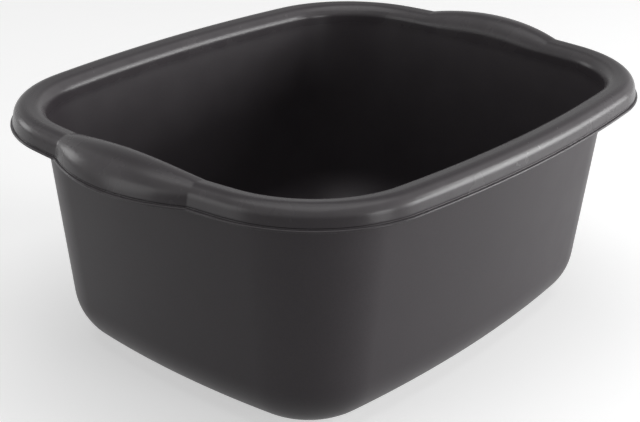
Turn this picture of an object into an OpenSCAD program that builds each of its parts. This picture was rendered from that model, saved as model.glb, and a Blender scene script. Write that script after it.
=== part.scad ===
/* [Body] */
// Distance between the end walls, outside, where they meet the rim's height
body_length = 336; // [310:1:370]
// Distance between the long walls, outside, where they meet the rim's height
body_width = 272.5; // [250:0.5:300]
// Height of the rim's top above the table, away from the grips
rim_height = 160; // [130:0.5:180]
// Thickness of the moulded wall
wall = 2.2; // [1.6:0.1:2.8]
// Lean of the walls outward from upright, in degrees
draft = 6.1; // [4:0.1:7]
// Radius of the upright corners, seen from above at the rim's height
corner_radius = 66; // [63:0.5:75]
// Radius of the shallow bow of the end walls
end_bow = 620; // [550:10:1200]
// Radius of the shallow bow of the long walls
side_bow = 870; // [700:5:1400]
// Outside radius where the walls turn into the floor
base_radius = 38; // [30:0.5:42]

/* [Foot] */
// Width of the flat ring that the bowl stands on
foot_width = 6; // [4:0.5:9]
// Height of the floor's middle panel above that ring
foot_recess = 1.6; // [1:0.1:2.5]

/* [Rim] */
// Reach of the rolled rim outward from the wall line, at its hem
rim_reach = 17.8; // [16:0.1:21]
// Height of the rolled rim from its hem to its top
rim_drop = 13.3; // [11.5:0.1:16]
// Outside radius of the rim's shoulder
shoulder_radius = 7.9; // [6:0.1:9]
// Radius of the inner edge, between the rim's top and the inside wall
edge_radius = 8.6; // [5:0.1:9]
// Fall of the rim's top towards the inside, in degrees
crown_fall = 8; // [4:0.5:14]
// Flare of the rim's skirt outward from upright, in degrees
skirt_flare = 11.5; // [6:0.5:18]
// How far the small lip along the hem stands out from the skirt
lip_out = 0.8; // [0.4:0.1:1.2]
// Height of the small lip along the hem
lip_height = 1.4; // [1:0.1:2]

/* [Grips] */
// Length of each grip between the two creases where it leaves the rim
grip_length = 102; // [90:1:112]
// Further reach of the rim outward at the middle of a grip
grip_reach = 11.9; // [11:0.1:16]
// Further height of the rim's top at the middle of a grip
grip_rise = 5.7; // [4:0.1:8]
// Shoulder radius at the middle of a grip
grip_shoulder_radius = 20; // [17:0.5:21]
// Inner edge radius at the middle of a grip
grip_edge_radius = 10; // [8:0.5:11]
// Fall of the rim's top towards the inside at the middle of a grip, in degrees
grip_crown_fall = 5; // [2:0.5:8]

/* [Hidden] */

// Flat steps that each round stretch is drawn with
grip_steps = 16;
plain_end_steps = 1;
side_steps = 6;
corner_steps = 12;
base_steps = 6;
edge_steps = 5;
shoulder_steps = 5;
under_edge_steps = 3;
under_shoulder_steps = 4;

half_length = body_length / 2;
half_width = body_width / 2;
hem_height = rim_height - rim_drop;

// The plan is eight arcs that meet smoothly: two end bows, two side bows and four corners
end_centre = [half_length - end_bow, 0];
side_centre = [0, half_width - side_bow];
end_arm = end_bow - corner_radius;
side_arm = side_bow - corner_radius;
centre_gap = side_centre - end_centre;
centre_distance = norm(centre_gap);
foot_along = (end_arm ^ 2 - side_arm ^ 2 + centre_distance ^ 2) / (2 * centre_distance);
foot_aside = sqrt(end_arm ^ 2 - foot_along ^ 2);
gap_direction = centre_gap / centre_distance;
corner_centre = end_centre + foot_along * gap_direction + foot_aside * [-gap_direction[1], gap_direction[0]];
end_turn = atan2(corner_centre[1], corner_centre[0] - end_centre[0]);
side_turn = atan2(corner_centre[1] - side_centre[1], corner_centre[0]);
grip_turn = asin(grip_length / 2 / end_bow);

// Arc whose centre makes the outside and the inside of the turn from wall to floor
base_height = base_radius;
base_offset = -(rim_height - base_height) * tan(draft) - base_radius / cos(draft);
foot_edge = base_offset - foot_width;
// The panel's step has the wall's thickness all along, also on its slope
step_shift = wall * tan(22.5);

function mix(plain, swollen, swell) = plain + (swollen - plain) * swell;

function arc(centre, radius, from, to, steps) =
    [for (i = [0:steps]) let (turn = mix(from, to, i / steps)) centre + radius * [cos(turn), sin(turn)]];

// Closed outline of the wall's section: distance outward from the wall line, and height.
// swell is 0 along the plain rim and 1 at the middle of a grip.
function section(swell) =
    let (
        reach = rim_reach + grip_reach * swell,
        top = rim_height + grip_rise * swell,
        shoulder_r = mix(shoulder_radius, grip_shoulder_radius, swell),
        edge_r = mix(edge_radius, grip_edge_radius, swell),
        fall = mix(crown_fall, grip_crown_fall, swell),
        shoulder_z = top - shoulder_r,
        shoulder_x = reach - (shoulder_r + (shoulder_z - hem_height) * sin(skirt_flare)) / cos(skirt_flare),
        shoulder = [shoulder_x, shoulder_z],
        edge = edge_centre(shoulder, shoulder_r, edge_r, fall),
        skirt_slope = tan(skirt_flare)
    )
    concat(
        [[foot_edge - foot_recess, foot_recess], [foot_edge, 0]],
        arc([base_offset, base_height], base_radius, -90, -draft, base_steps),
        arc(edge, edge_r - wall, 180 - draft, 90 + fall, under_edge_steps),
        arc(shoulder, shoulder_r - wall, 90 + fall, skirt_flare, under_shoulder_steps),
        [[reach - wall / cos(skirt_flare), hem_height]],
        [[reach + lip_out, hem_height], [reach + lip_out, hem_height + lip_height]],
        [[reach - lip_height * skirt_slope, hem_height + lip_height]],
        arc(shoulder, shoulder_r, skirt_flare, 90 + fall, shoulder_steps),
        arc(edge, edge_r, 90 + fall, 180 - draft, edge_steps),
        arc([base_offset, base_height], base_radius - wall, -draft, -90, base_steps),
        [[foot_edge - step_shift, wall], [foot_edge - step_shift - foot_recess, wall + foot_recess]]
    );

// Centre of the arc that touches the sloping top and the inside wall
function edge_centre(shoulder, shoulder_r, edge_r, fall) =
    let (
        top_normal = [-sin(fall), cos(fall)],
        wall_normal = [cos(draft), -sin(draft)],
        top_distance = shoulder * top_normal + shoulder_r - edge_r,
        wall_distance = -rim_height * sin(draft) - wall + edge_r,
        spread = top_normal[0] * wall_normal[1] - top_normal[1] * wall_normal[0]
    )
    [
        (top_distance * wall_normal[1] - wall_distance * top_normal[1]) / spread,
        (top_normal[0] * wall_distance - wall_normal[0] * top_distance) / spread
    ];

// Stations along the plan: arc centre, arc radius, direction outward and swell
function stations_on(centre, radius, from, to, steps) =
    [for (i = [0:steps - 1]) [centre, radius, mix(from, to, i / steps), 0]];

function grip_stations(centre, middle) =
    [
        for (i = [0:grip_steps - 1])
            let (part = 2 * i / grip_steps - 1)
            [centre, end_bow, middle + part * grip_turn, 1 - part ^ 2]
    ];

function end_stations(centre, middle) =
    concat(
        stations_on(centre, end_bow, middle - end_turn, middle - grip_turn, plain_end_steps),
        grip_stations(centre, middle),
        stations_on(centre, end_bow, middle + grip_turn, middle + end_turn, plain_end_steps)
    );

function mirrored(point, x, y) = [point[0] * x, point[1] * y];

stations = concat(
    end_stations(end_centre, 0),
    stations_on(corner_centre, corner_radius, end_turn, side_turn, corner_steps),
    stations_on(side_centre, side_bow, side_turn, 180 - side_turn, side_steps),
    stations_on(mirrored(corner_centre, -1, 1), corner_radius, 180 - side_turn, 180 - end_turn, corner_steps),
    end_stations(-end_centre, 180),
    stations_on(-corner_centre, corner_radius, 180 + end_turn, 180 + side_turn, corner_steps),
    stations_on(-side_centre, side_bow, 180 + side_turn, 360 - side_turn, side_steps),
    stations_on(mirrored(corner_centre, 1, -1), corner_radius, 360 - side_turn, 360 - end_turn, corner_steps)
);

function placed(station, point) =
    let (plan = station[0] + (station[1] + point[0]) * [cos(station[2]), sin(station[2])])
    [plan[0], plan[1], point[1]];

module bowl() {
    ring = len(section(0));
    count = len(stations);
    skin = [for (station = stations) for (point = section(station[3])) placed(station, point)];
    under_middle = count * ring;
    floor_middle = under_middle + 1;
    middles = [[0, 0, foot_recess], [0, 0, wall + foot_recess]];
    color("#4f4d50")
        polyhedron(
            points = concat(skin, middles),
            faces = concat(
                [
                    for (i = [0:count - 1], j = [0:ring - 2])
                        let (here = i * ring + j, next = (i + 1) % count * ring + j)
                        each [[here, here + 1, next], [next, here + 1, next + 1]]
                ],
                [
                    for (i = [0:count - 1])
                        let (here = i * ring, next = (i + 1) % count * ring)
                        each [[here, next, under_middle], [next + ring - 1, here + ring - 1, floor_middle]]
                ]
            )
        );
}

bowl();
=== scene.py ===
# %% [markdown]
# # A washing up bowl
#
# The bowl is one thin plastic shell, so nearly everything here is about one surface: its outline seen
# from above, the section of its wall, and the way that section swells into a grip at each short end.
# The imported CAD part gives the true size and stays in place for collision. The shell made here follows
# it with finer steps, softened edges and a slightly fuller inner edge along the grips, and it is what the
# camera sees.

import math

import bpy
import numpy as np
from mathutils import Matrix, Vector


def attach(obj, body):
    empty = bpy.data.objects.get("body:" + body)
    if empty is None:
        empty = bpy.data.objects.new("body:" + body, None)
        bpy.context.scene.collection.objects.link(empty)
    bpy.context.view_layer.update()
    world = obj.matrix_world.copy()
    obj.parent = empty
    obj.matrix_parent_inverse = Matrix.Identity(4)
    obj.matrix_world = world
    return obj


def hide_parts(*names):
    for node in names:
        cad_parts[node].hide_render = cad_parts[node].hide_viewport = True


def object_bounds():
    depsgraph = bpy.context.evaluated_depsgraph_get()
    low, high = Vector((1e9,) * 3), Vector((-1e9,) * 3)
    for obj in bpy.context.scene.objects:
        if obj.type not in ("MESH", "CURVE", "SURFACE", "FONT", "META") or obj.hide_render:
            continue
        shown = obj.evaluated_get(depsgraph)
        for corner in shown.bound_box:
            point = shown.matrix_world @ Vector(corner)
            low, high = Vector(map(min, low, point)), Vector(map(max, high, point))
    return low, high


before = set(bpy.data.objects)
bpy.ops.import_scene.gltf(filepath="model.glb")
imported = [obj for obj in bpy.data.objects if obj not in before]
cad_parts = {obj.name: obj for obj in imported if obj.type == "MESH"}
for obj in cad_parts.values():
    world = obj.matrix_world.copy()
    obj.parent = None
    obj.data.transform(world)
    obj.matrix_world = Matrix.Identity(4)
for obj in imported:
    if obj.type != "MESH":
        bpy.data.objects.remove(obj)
cad_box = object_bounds()
MM = 0.001
cad_size = [(high - low) / MM for low, high in zip(*cad_box)]
print("CAD box, mm:", [round(side, 1) for side in cad_size])

# %% [markdown]
# ## The sizes of the bowl
#
# A moulded bowl is drawn with a handful of sizes. The body is a rounded rectangle that leans outward by
# the draft, which lets it leave its mould. The rim rolls outward over a shoulder and ends in a hem with a
# small lip, and at the middle of a grip five of its sizes take a second value. Keeping the sizes
# together, as a drawing does, lets every later step use the same ones.

# %% Sizes in millimetres and degrees
BODY_LENGTH = 336.0
BODY_WIDTH = 272.5
RIM_HEIGHT = 160.0
WALL = 2.2
DRAFT = 6.1
CORNER_RADIUS = 66.0
END_BOW = 620.0
SIDE_BOW = 870.0
BASE_RADIUS = 38.0
FOOT_WIDTH = 6.0
FOOT_RECESS = 1.6
LIP_OUT = 0.8
LIP_HEIGHT = 1.4
SKIRT_FLARE = 11.5
RIM_DROP = 13.3
HEM_HEIGHT = RIM_HEIGHT - RIM_DROP
GRIP_LENGTH = 102.0
GRIP_RISE = 5.6

# Each of these changes from the plain rim to the middle of a grip
PLAIN = {"reach": 17.8, "top": RIM_HEIGHT, "shoulder": 7.9, "edge": 8.6, "fall": 8.0}
SWOLLEN = {"reach": 29.69, "top": RIM_HEIGHT + GRIP_RISE, "shoulder": 18.5, "edge": 13.1, "fall": 2.0}
print("grip stands out", round(SWOLLEN["reach"] - PLAIN["reach"], 1), "mm further than the rim")

# %% [markdown]
# ## The outline from above
#
# Seen from above, the bowl is not a box with round corners: its sides bow outward a little, which
# stiffens them. A box with bevelled edges would miss that, and a freehand curve would not be smooth.
# Eight arcs that share their tangents make the outline exactly. A point on it is known by the centre of
# its arc, the arc's radius and the direction in which the wall faces there. Keeping those three, rather
# than the point, lets any offset of the outline be worked out exactly too.

# %% The arcs of one quarter
CORNER_STEPS = 40
SIDE_STEPS = 28
GRIP_STEPS = 72
PLAIN_END_STEPS = 5


def arc_meeting(length_half, width_half):
    """Centre of the corner arc that touches both bows, and the directions where it meets them.

    The corner's centre lies (bow radius - corner radius) away from each bow's centre, so it is where
    two circles cross.
    """
    end_centre = np.array([length_half - END_BOW, 0.0])
    side_centre = np.array([0.0, width_half - SIDE_BOW])
    gap = side_centre - end_centre
    distance = np.hypot(*gap)
    end_arm = END_BOW - CORNER_RADIUS
    side_arm = SIDE_BOW - CORNER_RADIUS
    along = (end_arm**2 - side_arm**2 + distance**2) / (2 * distance)
    aside = math.sqrt(end_arm**2 - along**2)
    gap = gap / distance
    corner = end_centre + along * gap + aside * np.array([-gap[1], gap[0]])
    end_turn = math.atan2(corner[1], corner[0] - end_centre[0])
    side_turn = math.atan2(corner[1] - side_centre[1], corner[0])
    return end_centre, side_centre, corner, end_turn, side_turn


def quarter():
    """Stations from the middle of the +X end to the middle of the +Y side.

    Returns arc centres, arc radii and facing directions as arrays. Along the grip the directions are
    the mean of even steps and of a quarter sine, which crowds them towards the crease at the grip's
    end, where the rim changes fastest. Behind the crease they spread again with the square.
    """
    end_centre, side_centre, corner, end_turn, side_turn = arc_meeting(BODY_LENGTH / 2, BODY_WIDTH / 2)
    grip_turn = math.asin(GRIP_LENGTH / 2 / END_BOW)
    half_grip = GRIP_STEPS // 2 + 1
    ease = np.sin(np.linspace(0, math.pi / 2, half_grip))
    on_grip = grip_turn * (0.5 * ease + 0.5 * np.linspace(0, 1, half_grip))
    after = grip_turn + (end_turn - grip_turn) * np.linspace(0, 1, PLAIN_END_STEPS + 1)[1:-1] ** 2
    on_corner = np.linspace(end_turn, side_turn, CORNER_STEPS + 1)
    on_side = np.linspace(side_turn, math.pi / 2, SIDE_STEPS // 2 + 1)[1:]
    turn = np.concatenate([on_grip, after, on_corner, on_side])
    end_count = len(on_grip) + len(after)
    corner_end = end_count + len(on_corner)
    centre = np.empty((len(turn), 2))
    radius = np.empty(len(turn))
    centre[:end_count], radius[:end_count] = end_centre, END_BOW
    centre[end_count:corner_end], radius[end_count:corner_end] = corner, CORNER_RADIUS
    centre[corner_end:], radius[corner_end:] = side_centre, SIDE_BOW
    return centre, radius, turn


print("stations on one quarter:", len(quarter()[2]))

# %% The whole outline
def whole_outline():
    """The quarter mirrored across both axes, as one closed loop without repeated stations."""
    centre, radius, turn = quarter()
    flip_x = np.array([-1.0, 1.0])
    half_centre = np.vstack([centre, (centre * flip_x)[-2::-1]])
    half_radius = np.concatenate([radius, radius[-2::-1]])
    half_turn = np.concatenate([turn, math.pi - turn[-2::-1]])
    return (
        np.vstack([half_centre[:-1], -half_centre[:-1]]),
        np.concatenate([half_radius[:-1], half_radius[:-1]]),
        np.concatenate([half_turn[:-1], half_turn[:-1] + math.pi]),
    )


arc_centre, arc_radius, facing = whole_outline()
station_count = len(facing)
print("stations round the outline:", station_count)

# %% [markdown]
# ## The swell of the grips
#
# One number per station says how far the rim has swollen into a grip. Two separate shapes joined
# together would need a seam, while one number that runs from 0 to 1 lets a single section change along
# the way. It rises like a parabola from a crease at each end of the grip.

# %% Swell at every station
CREASE_SOFTNESS = 0.02


def grip_swell(radius, turn):
    """0 along the plain rim and 1 at the middle of a grip.

    A parabola in the distance along the end, 1 - (distance / half length) squared, cut off at zero.
    The cut is eased as 0.5 * (value + root of (value squared + softness squared)), because a mould's
    crease has a small radius.
    """
    along = radius * np.sin(turn) / (GRIP_LENGTH / 2)
    bell = np.where(radius == END_BOW, 1 - along**2, -1.0)
    soft = 0.5 * (bell + np.sqrt(bell**2 + CREASE_SOFTNESS**2))
    return np.where(radius == END_BOW, soft, 0.0)


swell = grip_swell(arc_radius, facing)
print("stations on the grips:", int(np.sum(swell > CREASE_SOFTNESS)))

# %% [markdown]
# ## The section of the wall
#
# A shell of even thickness has an outside and an inside that run side by side. The section is drawn as
# straight lines that would meet in sharp corners, and each corner is then rounded with its own radius,
# as a mould maker draws it. Where the outside has a convex round, the inside round is smaller by the
# wall's thickness, which keeps the wall even. The helpers below work on all stations at once.

# %% Lines and where they cross
def at_each(x, z):
    """A point of the section at every station, from numbers or from one number per station."""
    return np.stack([np.broadcast_to(x, station_count), np.broadcast_to(z, station_count)], axis=-1)


def line(angle, through):
    """A straight line as its unit normal and its distance from the origin, for every station."""
    normal = np.stack([np.cos(angle), np.sin(angle)], axis=-1)
    return normal, np.sum(normal * through, axis=-1)


def level(height):
    """The level line at a height, facing down."""
    return line(np.full(station_count, -math.pi / 2), at_each(0.0, height))


def inset(flat, depth):
    """The same line moved against its normal by a depth."""
    return flat[0], flat[1] - depth


def meet(one, two):
    """The point where two lines cross, by Cramer's rule."""
    (a, p), (b, q) = one, two
    det = a[..., 0] * b[..., 1] - a[..., 1] * b[..., 0]
    x = (p * b[..., 1] - q * a[..., 1]) / det
    z = (q * a[..., 0] - p * b[..., 0]) / det
    return np.stack([x, z], axis=-1)


outside_wall = line(np.full(station_count, -math.radians(DRAFT)), at_each(0.0, RIM_HEIGHT))
base_corner = meet(level(0.0), outside_wall)
print("the outside wall leans in by, mm:", -base_corner[0, 0].round(1))

# %% Rounds
# Steps that each round is drawn with
FINE_STEPS = 4
GROOVE_STEPS = 3
LIP_STEPS = 6
BASE_STEPS = 20
EDGE_STEPS = 14
SHOULDER_STEPS = 16
UNDER_EDGE_STEPS = 8
UNDER_SHOULDER_STEPS = 10


def rounded(before, at, after, radius, steps):
    """The arc of a radius that touches both lines of a corner.

    The arc's centre lies on the corner's bisector at radius / sin(half angle). Its points are a
    spherical blend between the two directions in which it touches the lines.
    """
    to_before = before - at
    to_after = after - at
    to_before = to_before / np.linalg.norm(to_before, axis=-1, keepdims=True)
    to_after = to_after / np.linalg.norm(to_after, axis=-1, keepdims=True)
    angle = np.arccos(np.clip(np.sum(to_before * to_after, axis=-1, keepdims=True), -1, 1))
    bisector = to_before + to_after
    bisector = bisector / np.linalg.norm(bisector, axis=-1, keepdims=True)
    centre = at + bisector * radius / np.sin(angle / 2)
    reach = radius / np.tan(angle / 2)
    start = (at + to_before * reach - centre) / radius
    end = (at + to_after * reach - centre) / radius
    sweep = math.pi - angle
    part = np.linspace(0, 1, steps + 1)[:, None, None]
    blend = np.sin((1 - part) * sweep) * start + np.sin(part * sweep) * end
    return list(centre + radius * blend / np.sin(sweep))


floor_middle, wall_top = at_each(-BODY_WIDTH / 2, 0.0), at_each(0.0, RIM_HEIGHT)
base_arc = rounded(floor_middle, base_corner, wall_top, BASE_RADIUS, BASE_STEPS)
print("the turn from floor to wall ends at a height of, mm:", base_arc[-1][0, 1].round(1))

# %% Support for the shading
# Distance of a support point from the end of its stretch, in millimetres, the largest share of the
# stretch that it may take, and the shortest length that is divided by
SUPPORT_GAP = 0.8
SUPPORT_SHARE = 0.25
SHORTEST = 1e-6


def supported(here, there):
    """Two points on a straight stretch, close to its ends, which keep its shading flat.

    Each lies SUPPORT_GAP from its end, or SUPPORT_SHARE of the stretch where that is shorter.
    """
    stretch = there - here
    length = np.linalg.norm(stretch, axis=-1, keepdims=True)
    near = np.minimum(SUPPORT_SHARE, SUPPORT_GAP / np.maximum(length, SHORTEST))
    return [here + stretch * near, there - stretch * near]


near_arc = supported(base_arc[-1], wall_top)[0]
print("the wall's first support point has a height of, mm:", near_arc[0, 1].round(1))

# %% [markdown]
# ## The rim's lines and the lip
#
# The rim is three lines: a skirt that flares outward to the hem, a crown that falls inward so that water
# runs back, and the wall itself. The lip is a small bead along the hem. A narrow groove runs above it,
# and its shadow is the thin dark line that the eye follows round the bowl. A bead laid on as a separate
# ring would leave a seam, so lip and groove are corners of the same section.

# %% Lines of the rim
# The inner edge's radius grows faster than the swell near the crease, and this says by how much
EDGE_BOW = 1.11


def sizes_at(swell):
    """Each size of the rim at every station: plain + (swollen - plain) * swell.

    The inner edge's radius gets EDGE_BOW * (swollen - plain) * swell * (1 - swell) on top, which is
    nothing at the crease and at the middle of the grip.
    """
    size = {name: PLAIN[name] + (SWOLLEN[name] - PLAIN[name]) * swell for name in PLAIN}
    size["edge"] += EDGE_BOW * (SWOLLEN["edge"] - PLAIN["edge"]) * swell * (1 - swell)
    return size


def rim_lines(size):
    """Skirt and crown as lines.

    The shoulder's centre lies one shoulder radius below the top and one inside the skirt. The crown is
    the line that falls inward and touches the shoulder from above.
    """
    flare = np.full(station_count, math.radians(SKIRT_FLARE))
    skirt = line(flare, at_each(size["reach"], HEM_HEIGHT))
    shoulder_z = size["top"] - size["shoulder"]
    shoulder_x = (skirt[1] - size["shoulder"] - shoulder_z * skirt[0][:, 1]) / skirt[0][:, 0]
    crown = line(math.pi / 2 + np.radians(size["fall"]), at_each(shoulder_x, shoulder_z))
    return skirt, inset(crown, -size["shoulder"])


size = sizes_at(swell)
print("inner edge's radius, mm:", size["edge"].min().round(1), "to", size["edge"].max().round(1))

# %% Corners of the section and their rounds
# Depth of the groove, and the heights of its floor and of the slope above it, in millimetres
GROOVE_DEPTH = 0.4
GROOVE_HEIGHT = 0.55
GROOVE_SLOPE = 0.5

# Slope of the step between the foot and the floor's panel, in degrees
PANEL_SLOPE = 45.0

# Radii of the small rounds, in millimetres
HEM_ROUND = 0.35
LIP_ROUND = 0.95
GROOVE_ROUND = 0.25
FOOT_ROUND = 1.0


def section_corners(size):
    """The foot's inner edge, and each corner of the section with its radius and steps.

    The corners run from the underside's panel over the foot, up the outside, along the rim's underside
    to the hem, over lip, groove, skirt and crown, and down the inside to the floor's panel.
    """
    skirt, crown = rim_lines(size)
    ground, hem = level(0.0), level(HEM_HEIGHT)
    under_skirt, under_crown = inset(skirt, WALL), inset(crown, WALL)
    inner_wall, floor_top = inset(outside_wall, WALL), inset(ground, WALL)
    groove = inset(skirt, GROOVE_DEPTH)
    lip_top = HEM_HEIGHT + LIP_HEIGHT
    groove_top = lip_top + GROOVE_HEIGHT
    lip_foot = meet(skirt, hem) + np.array([LIP_OUT, 0.0])
    base_middle = meet(inset(outside_wall, BASE_RADIUS), inset(ground, BASE_RADIUS))
    foot_edge = base_middle[:, 0] - FOOT_WIDTH
    panel_edge = foot_edge - WALL * math.tan(math.radians(PANEL_SLOPE / 2))
    edge, shoulder = size["edge"][:, None], size["shoulder"][:, None]
    corners = [
        (at_each(foot_edge - FOOT_RECESS, FOOT_RECESS), FOOT_ROUND, FINE_STEPS),
        (at_each(foot_edge, 0.0), FOOT_ROUND, FINE_STEPS),
        (base_corner, BASE_RADIUS, BASE_STEPS),
        (meet(outside_wall, under_crown), edge - WALL, UNDER_EDGE_STEPS),
        (meet(under_crown, under_skirt), shoulder - WALL, UNDER_SHOULDER_STEPS),
        (meet(under_skirt, hem), HEM_ROUND, FINE_STEPS),
        (lip_foot, HEM_ROUND, FINE_STEPS),
        (lip_foot + np.array([0.0, LIP_HEIGHT]), LIP_ROUND, LIP_STEPS),
        (meet(groove, level(lip_top)), GROOVE_ROUND, FINE_STEPS),
        (meet(groove, level(groove_top)), GROOVE_ROUND, GROOVE_STEPS),
        (meet(skirt, level(groove_top + GROOVE_SLOPE)), GROOVE_ROUND, GROOVE_STEPS),
        (meet(skirt, crown), shoulder, SHOULDER_STEPS),
        (meet(crown, inner_wall), edge, EDGE_STEPS),
        (meet(inner_wall, floor_top), BASE_RADIUS - WALL, BASE_STEPS),
        (at_each(panel_edge, WALL), FOOT_ROUND, FINE_STEPS),
        (at_each(panel_edge - FOOT_RECESS, WALL + FOOT_RECESS), FOOT_ROUND, FINE_STEPS),
    ]
    return foot_edge, corners


print("corners of the section:", len(section_corners(size)[1]))

# %% The rounded section at every station
# How far inside the foot's edge the section starts and ends, in millimetres
PANEL_MARGIN = 5.0


def section(size):
    """Rounded outline of the wall at every station: offset outward from the wall line, and height.

    It starts and ends a little inside the foot, on the panels under and above the floor. The result
    has the shape (points, stations, 2).
    """
    foot_edge, corners = section_corners(size)
    start = at_each(foot_edge - PANEL_MARGIN, FOOT_RECESS)
    finish = at_each(foot_edge - PANEL_MARGIN, WALL + FOOT_RECESS)
    sharp = [start] + [corner[0] for corner in corners] + [finish]
    points = [start]
    for i, (at, radius, steps) in enumerate(corners):
        arc = rounded(sharp[i], at, sharp[i + 2], radius, steps)
        points += supported(points[-1], arc[0]) + arc
    return np.array(points + supported(points[-1], finish) + [finish])


profile = section(size)
print("points along the section:", len(profile))

# %% [markdown]
# ## The shell as one surface
#
# Every point of the shell has two addresses: its station round the outline and its place along the
# section. Carrying the section along the outline turns the two lists into a grid of points, and the
# faces are the cells of that grid. A lofting tool would do the same with less say over where the edges
# lie. The floor closes with rings that shrink from the outline to a circle and then to a point, and
# underneath they form the small mark that the mould's gate leaves.

# %% Carry the section round the outline
# Radius and height of each ring that closes the floor, in millimetres. The gate's mark is a shallow dish
# with a snapped-off stub in its middle.
FLOOR_RINGS = [(70.0, 0.0), (30.0, 0.0), (10.0, 0.0), (0.5, 0.0)]
GATE_RINGS = [(70.0, 0.0), (30.0, 0.0), (9.0, 0.0), (7.5, 0.0), (7.0, 0.4), (6.0, 0.7), (3.0, 0.7)]
GATE_RINGS += [(2.4, 0.6), (2.1, 0.0), (1.8, -0.2), (0.4, -0.3)]


def disc_ring(around, radius, height):
    """A circle with one point for each station, in the direction of that station."""
    return np.concatenate([around * radius, np.full((len(around), 1), height)], axis=-1)


def shell_points():
    """Grid of points (rings, stations, 3), from the middle of the underside to the middle of the floor.

    A swept point is its arc's centre + (arc radius + offset) * outward direction, at its own height.
    """
    outward = np.stack([np.cos(facing), np.sin(facing)], axis=-1)
    plan = arc_centre + (arc_radius + profile[..., 0])[..., None] * outward
    swept = np.concatenate([plan, profile[..., 1:]], axis=-1)
    panel_outline = swept[0, :, :2]
    around = panel_outline / np.linalg.norm(panel_outline, axis=-1, keepdims=True)
    under = [disc_ring(around, radius, FOOT_RECESS + height) for radius, height in reversed(GATE_RINGS)]
    inside = [disc_ring(around, radius, WALL + FOOT_RECESS - height) for radius, height in FLOOR_RINGS]
    return np.concatenate([np.array(under), swept, np.array(inside)])


shell_grid = shell_points()
print("rings and stations in the grid:", shell_grid.shape[:2])

# %% A closed mesh from the grid
def grid_faces(rings, around):
    """Cells between neighbouring points, and a fan at each end that meets in a pole.

    Point (ring, place) has the number ring * around + place, and the poles come after all of them. The
    corners are listed in reverse, so that the faces point outward.
    """
    ring, place = np.meshgrid(np.arange(rings - 1), np.arange(around), indexing="ij")
    after = (place + 1) % around
    low = ring * around
    high = low + around
    cells = np.stack([low + place, high + place, high + after, low + after], axis=-1)
    here = np.arange(around)
    there = (here + 1) % around
    first_pole = np.full(around, rings * around)
    last = (rings - 1) * around
    fan_start = np.stack([first_pole, here, there], axis=-1)
    fan_end = np.stack([first_pole + 1, last + there, last + here], axis=-1)
    return [face[::-1] for face in cells.reshape(-1, 4).tolist() + fan_start.tolist() + fan_end.tolist()]


def closed_grid(name, grid):
    """A smooth-shaded object from rings of points in millimetres, closed by a pole at each end."""
    poles = np.array([grid[0].mean(axis=0), grid[-1].mean(axis=0)])
    mesh = bpy.data.meshes.new(name)
    mesh.from_pydata(np.concatenate([grid.reshape(-1, 3), poles]) * MM, [], grid_faces(*grid.shape[:2]))
    mesh.polygons.foreach_set("use_smooth", np.ones(len(mesh.polygons), dtype=bool))
    mesh.update()
    made = bpy.data.objects.new(name, mesh)
    bpy.context.scene.collection.objects.link(made)
    return made


bowl = closed_grid("bowl_shell", shell_grid)
print("faces in the shell:", len(bowl.data.polygons))

# %% [markdown]
# ## Colours and nodes
#
# Colours are written as the sRGB values that a screen shows, because those are easy to compare with the
# real thing, and one function turns them into the linear values that a shader needs. One more function
# adds a node with its settings and links, which keeps a long material readable from top to bottom.

# %% Two helpers for materials
def linear(hex_colour):
    """sRGB hex to linear RGBA: the standard curve with its straight foot."""
    parts = np.array([int(hex_colour[i : i + 2], 16) for i in (1, 3, 5)]) / 255
    parts = np.where(parts <= 0.04045, parts / 12.92, ((parts + 0.055) / 1.055) ** 2.4)
    return (*parts.tolist(), 1.0)


def node(tree, kind, settings=None, **links):
    """Adds one node. Settings are its own properties; links give sockets a value or another output.

    A socket is named with underscores for its spaces, or by its number, as in _0, where names repeat.
    """
    made = tree.nodes.new(kind)
    for name, value in (settings or {}).items():
        setattr(made, name, value)
    for name, value in links.items():
        socket = made.inputs[int(name[1:])] if name[1:].isdigit() else made.inputs[name.replace("_", " ")]
        if isinstance(value, bpy.types.NodeSocket):
            tree.links.new(value, socket)
        else:
            socket.default_value = value
    return made


print("a middle grey of #808080 in linear light:", round(linear("#808080")[0], 4))

# %% [markdown]
# ## Dark grey polypropylene
#
# The bowl is injection moulded in polypropylene, coloured right through with a dark grey masterbatch.
# Its surface is the print of the steel: finely spark-eroded on the walls, which makes them satin, and
# polished finer on the rim. The plastic is slightly uneven in tone, and shrinking as it cools leaves the
# large faces a little wavy, which the highlights show. Use rubs the foot paler. The rim's two edges are
# paler too, partly as rubbing and partly as painted sheen where the highlights fall on them.
# A picture wrapped round the bowl would stretch over the rim. Three noises sized in real millimetres,
# the height and the way a face looks drive the whole finish instead, so it fits from every side.

# %% Three patterns in the plastic
# Size, detail and roughness of each noise. Clouds are the slow change of tone in the pigment, grain is
# the print of the eroded steel, and waves are the shallow hollows that shrinking leaves. Real eroded
# grain is about 0.05 mm. It is drawn coarser here, so that it doesn't vanish between the pixels.
PATTERNS = {
    "cloud": (22 * MM, 3.0, 0.6),
    "grain": (0.9 * MM, 2.0, 0.5),
    "waves": (38 * MM, 1.0, 0.4),
}

# The noises stay mostly between these two values
NOISE_LOW = 0.3
NOISE_HIGH = 0.7


def patterns_at(tree, place):
    """The output of each noise, by name. A noise's scale is 1 / its size."""
    outputs = {}
    for name, (size, detail, roughness) in PATTERNS.items():
        shape = {"Scale": 1 / size, "Detail": detail, "Roughness": roughness}
        outputs[name] = node(tree, "ShaderNodeTexNoise", Vector=place, **shape).outputs[0]
    return outputs


print("sizes of the patterns, mm:", [round(size / MM, 1) for size, _, _ in PATTERNS.values()])

# %% Grey with clouds and specks
DARKER_GREY = "#3b373a"
LIGHTER_GREY = "#413d40"
SPECK = 0.07
COLOUR_MIX = {"data_type": "RGBA"}


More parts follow.
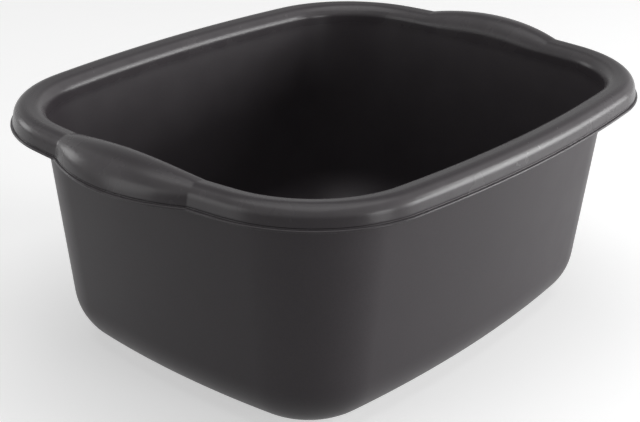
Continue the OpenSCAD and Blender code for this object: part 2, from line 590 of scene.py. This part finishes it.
def mottled_grey(tree, patterns):
    """Two close greys mixed by the cloud, times 1 - SPECK to 1 + SPECK by the grain.

    From afar it is one grey. Close up it keeps the large faces from looking flat and painted.
    """
    cloud = patterns["cloud"]
    body = node(tree, "ShaderNodeMix", COLOUR_MIX, _0=cloud, _6=linear(DARKER_GREY), _7=linear(LIGHTER_GREY))
    speck = node(
        tree,
        "ShaderNodeMapRange",
        Value=patterns["grain"],
        From_Min=NOISE_LOW,
        From_Max=NOISE_HIGH,
        To_Min=1 - SPECK,
        To_Max=1 + SPECK,
    )
    scale = {"operation": "SCALE"}
    return node(tree, "ShaderNodeVectorMath", scale, _0=body.outputs[2], Scale=speck.outputs[0]).outputs[0]


print("the greys in linear light:", [round(linear(grey)[0], 4) for grey in (DARKER_GREY, LIGHTER_GREY)])

# %% Wear on the foot
WORN_FOOT = "#5f5d5f"
FOOT_WEAR_HEIGHT = 4 * MM
FOOT_WEAR_LIMITS = (0.45, 1.3)


def worn_foot(tree, patterns, height, grey):
    """Paler blotches low on the foot, where it slides over hard tops, which give the bowl some age.

    The grey is worn where the cloud is above a limit. The limit rises from its first value at the
    table to its second at FOOT_WEAR_HEIGHT, which no cloud reaches.
    """
    limit = node(
        tree,
        "ShaderNodeMapRange",
        Value=height,
        From_Min=0.0,
        From_Max=FOOT_WEAR_HEIGHT,
        To_Min=FOOT_WEAR_LIMITS[0],
        To_Max=FOOT_WEAR_LIMITS[1],
    ).outputs[0]
    above = {"operation": "GREATER_THAN"}
    worn = node(tree, "ShaderNodeMath", above, _0=patterns["cloud"], _1=limit).outputs[0]
    return node(tree, "ShaderNodeMix", COLOUR_MIX, _0=worn, _6=grey, _7=linear(WORN_FOOT)).outputs[2]


print("the foot wears up to, mm:", round(FOOT_WEAR_HEIGHT / MM, 1))

# %% Wear and painted sheen on the rim's edges
# The paler grey is partly rubbing and partly a painted sheen on the rim's sloping edges
RUBBED_EDGE_AND_SHEEN = "#5c595b"
SMOOTH = {"interpolation_type": "SMOOTHSTEP"}

# Each pair is where the rubbing and painted sheen are nothing and where they are full. The first two are
# about the upward part of a face's unit normal, and leave out the upright walls and the level top. The
# third is about height, and leaves out all that lies below the rim.
RUB_AND_SHEEN_OFF_WALLS = (0.1, 0.45)
RUB_AND_SHEEN_OFF_TOP = (0.97, 0.8)
RUB_AND_SHEEN_HEIGHTS = (146 * MM, 150 * MM)

# Between these values of the cloud the rubbing and painted sheen grow from their least share to the whole
PATCH_CLOUD = (0.35, 0.65)
PATCH_LEAST = 0.75


def rubbed_edges_and_painted_sheen(tree, patterns, height, upward, grey):
    """A paler grey along the rim's inner edge and shoulder, which draws the rim's form for the eye: partly
    rubbing, and partly painted sheen where the highlights fall.

    Its share is the product of the three fades and the cloud's patches.
    """
    rubbed_and_sheen = node(
        tree,
        "ShaderNodeMapRange",
        Value=patterns["cloud"],
        From_Min=PATCH_CLOUD[0],
        From_Max=PATCH_CLOUD[1],
        To_Min=PATCH_LEAST,
        To_Max=1.0,
    ).outputs[0]
    for value, (nothing, full) in ((upward, RUB_AND_SHEEN_OFF_WALLS), (upward, RUB_AND_SHEEN_OFF_TOP), (height, RUB_AND_SHEEN_HEIGHTS)):
        fade = node(tree, "ShaderNodeMapRange", SMOOTH, Value=value, From_Min=nothing, From_Max=full)
        times = {"operation": "MULTIPLY"}
        rubbed_and_sheen = node(tree, "ShaderNodeMath", times, _0=rubbed_and_sheen, _1=fade.outputs[0]).outputs[0]
    # The mix paints the rubbing and the sheen into the base colour
    return node(tree, "ShaderNodeMix", COLOUR_MIX, _0=rubbed_and_sheen, _6=grey, _7=linear(RUBBED_EDGE_AND_SHEEN)).outputs[2]


print("the rim is rubbed from, mm:", round(RUB_AND_SHEEN_HEIGHTS[0] / MM, 1))

# %% Satin walls and a glossier rim
WALL_ROUGHNESS = 0.42
RIM_ROUGHNESS = 0.26
UNEVENNESS = 0.03

# The finish changes from this far below the hem to this far above it, in millimetres
FINISH_BELOW = 4.0
FINISH_ABOVE = 2.0


def satin_roughness(tree, patterns, height):
    """The walls' roughness below the hem and the rim's above it, give or take UNEVENNESS by the cloud.

    The walls get wide, dull highlights and the rim narrow, bright ones.
    """
    finish = node(
        tree,
        "ShaderNodeMapRange",
        SMOOTH,
        Value=height,
        From_Min=(HEM_HEIGHT - FINISH_BELOW) * MM,
        From_Max=(HEM_HEIGHT + FINISH_ABOVE) * MM,
        To_Min=WALL_ROUGHNESS,
        To_Max=RIM_ROUGHNESS,
    ).outputs[0]
    uneven = node(
        tree,
        "ShaderNodeMapRange",
        Value=patterns["cloud"],
        From_Min=NOISE_LOW,
        From_Max=NOISE_HIGH,
        To_Min=-UNEVENNESS,
        To_Max=UNEVENNESS,
    ).outputs[0]
    return node(tree, "ShaderNodeMath", {"operation": "ADD"}, _0=finish, _1=uneven).outputs[0]


print("roughness of wall and rim:", WALL_ROUGHNESS, RIM_ROUGHNESS)

# %% Relief of the grain and of the waves
GRAIN_DEPTH = 0.02 * MM
GRAIN_STRENGTH = 0.35
WAVES_DEPTH = 0.12 * MM
WAVES_STRENGTH = 1.0


def moulded_relief(tree, patterns):
    """The grain's relief with the waves' relief over it.

    The grain frays the edges of the highlights, and the waves bend the highlights of the large faces.
    """
    grain = {"Strength": GRAIN_STRENGTH, "Distance": GRAIN_DEPTH, "Height": patterns["grain"]}
    waves = {"Strength": WAVES_STRENGTH, "Distance": WAVES_DEPTH, "Height": patterns["waves"]}
    fine = node(tree, "ShaderNodeBump", **grain).outputs[0]
    return node(tree, "ShaderNodeBump", Normal=fine, **waves).outputs[0]


print("depth of grain and waves, mm:", round(GRAIN_DEPTH / MM, 2), round(WAVES_DEPTH / MM, 2))

# %% The moulded plastic on the bowl
INDEX_OF_REFRACTION = 1.49
SPECULAR = 0.25


def moulded_polypropylene():
    """Coloured polypropylene with an eroded mould finish, finer on the rim."""
    made = bpy.data.materials.new("polypropylene_moulded")
    made.use_nodes = True
    tree = made.node_tree
    tree.nodes.clear()
    coordinates = node(tree, "ShaderNodeTexCoord").outputs
    upward = node(tree, "ShaderNodeSeparateXYZ", Vector=coordinates["Normal"]).outputs["Z"]
    height = node(tree, "ShaderNodeSeparateXYZ", Vector=coordinates["Object"]).outputs["Z"]
    patterns = patterns_at(tree, coordinates["Object"])
    grey = mottled_grey(tree, patterns)
    grey = worn_foot(tree, patterns, height, grey)
    # Paler rim edges: rubbing, and painted sheen where the highlights fall
    grey = rubbed_edges_and_painted_sheen(tree, patterns, height, upward, grey)
    shader = node(
        tree,
        "ShaderNodeBsdfPrincipled",
        {"distribution": "GGX"},
        Base_Color=grey,
        Roughness=satin_roughness(tree, patterns, height),
        Normal=moulded_relief(tree, patterns),
        IOR=INDEX_OF_REFRACTION,
        Specular_IOR_Level=SPECULAR,
    )
    node(tree, "ShaderNodeOutputMaterial", Surface=shader.outputs[0])
    return made


polypropylene = moulded_polypropylene()
bowl.data.materials.append(polypropylene)
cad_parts["bowl"].data.materials.clear()
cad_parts["bowl"].data.materials.append(polypropylene)
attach(bowl, "root")
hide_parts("bowl")
print("nodes in the material:", len(polypropylene.node_tree.nodes))

# %% [markdown]
# ## The studio
#
# The photograph is a cut-out on white, so only the bowl's highlights tell of its lamps. Eight soft lamps
# repeat them: a low strip of three at the front right with a raised one above it, one straight in front,
# a broad one at the left, a weak one behind, and a very broad one overhead. Their powers were matched to
# the tones of the walls and of the rim. A real white floor would also light the lower walls from below,
# so floor and surroundings are pale only to what looks at them, directly or in a reflection. The floor
# still shows the lamps' light, which keeps the bowl's soft shadow on it.

# %% The floor
# Linear greys of the floor: its own glow, what it shows of the lamps' light, and what it throws back
FLOOR_GLOW = 0.5
FLOOR_LIT = 0.75
FLOOR_BOUNCE = 0.1

# Half the floor's side, in metres
FLOOR_HALF = 6.0


def plain_grey(value):
    """A linear colour with the same value in red, green and blue."""
    return (value, value, value, 1.0)


def looked_at(tree):
    """1 for a ray from the camera, off a gloss or through something clear, and 0 for any other ray.

    It is the largest of the light path's three answers.
    """
    rays = node(tree, "ShaderNodeLightPath").outputs
    larger = {"operation": "MAXIMUM"}
    bent = node(tree, "ShaderNodeMath", larger, _0=rays["Is Glossy Ray"], _1=rays["Is Transmission Ray"])
    return node(tree, "ShaderNodeMath", larger, _0=rays["Is Camera Ray"], _1=bent.outputs[0]).outputs[0]


def studio_white():
    """White to whatever looks at it, directly or in a reflection, and dim as a source of light.

    The glow holds the background near white, and the lit share on top of it keeps the bowl's shadow.
    """
    made = bpy.data.materials.new("studio_white")
    made.use_nodes = True
    tree = made.node_tree
    tree.nodes.clear()
    unseen = node(tree, "ShaderNodeBsdfDiffuse", Color=plain_grey(FLOOR_BOUNCE))
    lit = node(tree, "ShaderNodeBsdfDiffuse", Color=plain_grey(FLOOR_LIT))
    glow = node(tree, "ShaderNodeEmission", Color=plain_grey(1.0), Strength=FLOOR_GLOW)
    white = node(tree, "ShaderNodeAddShader", _0=lit.outputs[0], _1=glow.outputs[0])
    cloth = node(tree, "ShaderNodeMixShader", _0=looked_at(tree), _1=unseen.outputs[0], _2=white.outputs[0])
    node(tree, "ShaderNodeOutputMaterial", Surface=cloth.outputs[0])
    return made


floor_corners = [(FLOOR_HALF * x, FLOOR_HALF * y, 0) for x, y in ((-1, -1), (1, -1), (1, 1), (-1, 1))]
floor_mesh = bpy.data.meshes.new("studio_floor")
floor_mesh.from_pydata(floor_corners, [], [(0, 1, 2, 3)])
floor = bpy.data.objects.new("studio_floor", floor_mesh)
bpy.context.scene.collection.objects.link(floor)
floor_mesh.materials.append(studio_white())
print("side of the floor, m:", 2 * FLOOR_HALF)

# %% The surroundings
# Strength of the world as a light, and to what looks at it
WORLD_LIGHT = 0.0
WORLD_WHITE = 0.55


def studio_world():
    """Pale to whatever looks at it, and dark as a source of light."""
    made = bpy.data.worlds.new("studio")
    made.use_nodes = True
    tree = made.node_tree
    strength = node(tree, "ShaderNodeMapRange", Value=looked_at(tree), To_Min=WORLD_LIGHT, To_Max=WORLD_WHITE)
    background = tree.nodes["Background"]
    background.inputs["Color"].default_value = plain_grey(1.0)
    tree.links.new(strength.outputs[0], background.inputs["Strength"])
    return made


bpy.context.scene.world = studio_world()
print("strength of the world in view:", WORLD_WHITE)

# %% Eight soft lamps
# The point inside the bowl that every lamp faces, in metres
LAMP_AIM = Vector((0, 0, 0.1))


def direction(azimuth, elevation):
    """Unit vector from the bowl outward. Azimuth 0 is in front, on the -Y side, and 90 is on the +X side.

    x = sin(azimuth) * cos(elevation), y = -cos(azimuth) * cos(elevation), z = sin(elevation).
    """
    turn, rise = math.radians(azimuth), math.radians(elevation)
    return Vector((math.sin(turn) * math.cos(rise), -math.cos(turn) * math.cos(rise), math.sin(rise)))


def soft_lamp(name, azimuth, elevation, distance, size, power):
    """A square area lamp that faces the bowl: angles in degrees, distance and size in metres, power in W."""
    back = direction(azimuth, elevation)
    data = bpy.data.lights.new(name, "AREA")
    data.size = size
    data.energy = power
    lamp = bpy.data.objects.new(name, data)
    lamp.location = LAMP_AIM + back * distance
    lamp.rotation_mode = "QUATERNION"
    lamp.rotation_quaternion = back.to_track_quat("Z", "Y")
    bpy.context.scene.collection.objects.link(lamp)
    return lamp


soft_lamp("lamp_strip_left", 30, 7, 1.8, 0.5, 9.4)
soft_lamp("lamp_strip_middle", 45, 7, 1.8, 0.5, 8.2)
soft_lamp("lamp_strip_right", 60, 7, 1.8, 0.5, 4.4)
soft_lamp("lamp_raised", 45, 20, 1.8, 0.5, 7.1)
soft_lamp("lamp_front", 0, 7, 1.8, 0.5, 6.0)
soft_lamp("lamp_left", -111, 11, 1.8, 1.0, 7.0)
soft_lamp("lamp_back", -165, 12, 1.8, 0.5, 3.0)
soft_lamp("lamp_top", 0, 89, 2.2, 2.2, 25.6)
print("power of all lamps, W:", round(sum(data.energy for data in bpy.data.lights), 1))

# %% [markdown]
# ## The camera
#
# The camera's place was found by matching the bowl's outline, its hem and its highlights to the
# photograph: it stands in front of the near corner and looks down by about 24 degrees.

# %% Camera
# The picture's size, focal length and optical centre in pixels, and the sensor's width in millimetres
IMAGE_WIDTH = 640
IMAGE_HEIGHT = 422
FOCAL_PIXELS = 1396.3
OPTICAL_CENTRE = (319.66, 221.45)
SENSOR = 36.0

# The camera's direction and roll in degrees, and its distance and target in millimetres
CAMERA_AZIMUTH = -49.938
CAMERA_ELEVATION = 24.181
CAMERA_ROLL = 0.860
CAMERA_DISTANCE = 898.15
TARGET = (-20.344, -6.008, 72.146)

# How far the camera sees, in metres
CLIP_END = 50.0

back = direction(CAMERA_AZIMUTH, CAMERA_ELEVATION)
azimuth = math.radians(CAMERA_AZIMUTH)
right = Vector((math.cos(azimuth), math.sin(azimuth), 0))
up = back.cross(right)
roll = math.radians(CAMERA_ROLL)
right, up = math.cos(roll) * right + math.sin(roll) * up, math.cos(roll) * up - math.sin(roll) * right
camera_axes = Matrix((right, up, back)).transposed().to_4x4()
camera_place = (Vector(TARGET) + back * CAMERA_DISTANCE) * MM

camera_data = bpy.data.cameras.new("camera")
camera_data.sensor_width = SENSOR
camera_data.lens = FOCAL_PIXELS / IMAGE_WIDTH * SENSOR
camera_data.shift_x = (IMAGE_WIDTH / 2 - OPTICAL_CENTRE[0]) / IMAGE_WIDTH
camera_data.shift_y = (OPTICAL_CENTRE[1] - IMAGE_HEIGHT / 2) / IMAGE_WIDTH
camera_data.clip_end = CLIP_END
camera = bpy.data.objects.new("camera", camera_data)
camera.matrix_world = Matrix.Translation(camera_place) @ camera_axes
bpy.context.scene.collection.objects.link(camera)
bpy.context.scene.camera = camera
bpy.context.scene.view_settings.view_transform = "Standard"
print("height of the camera, m:", round(camera_place.z, 3))
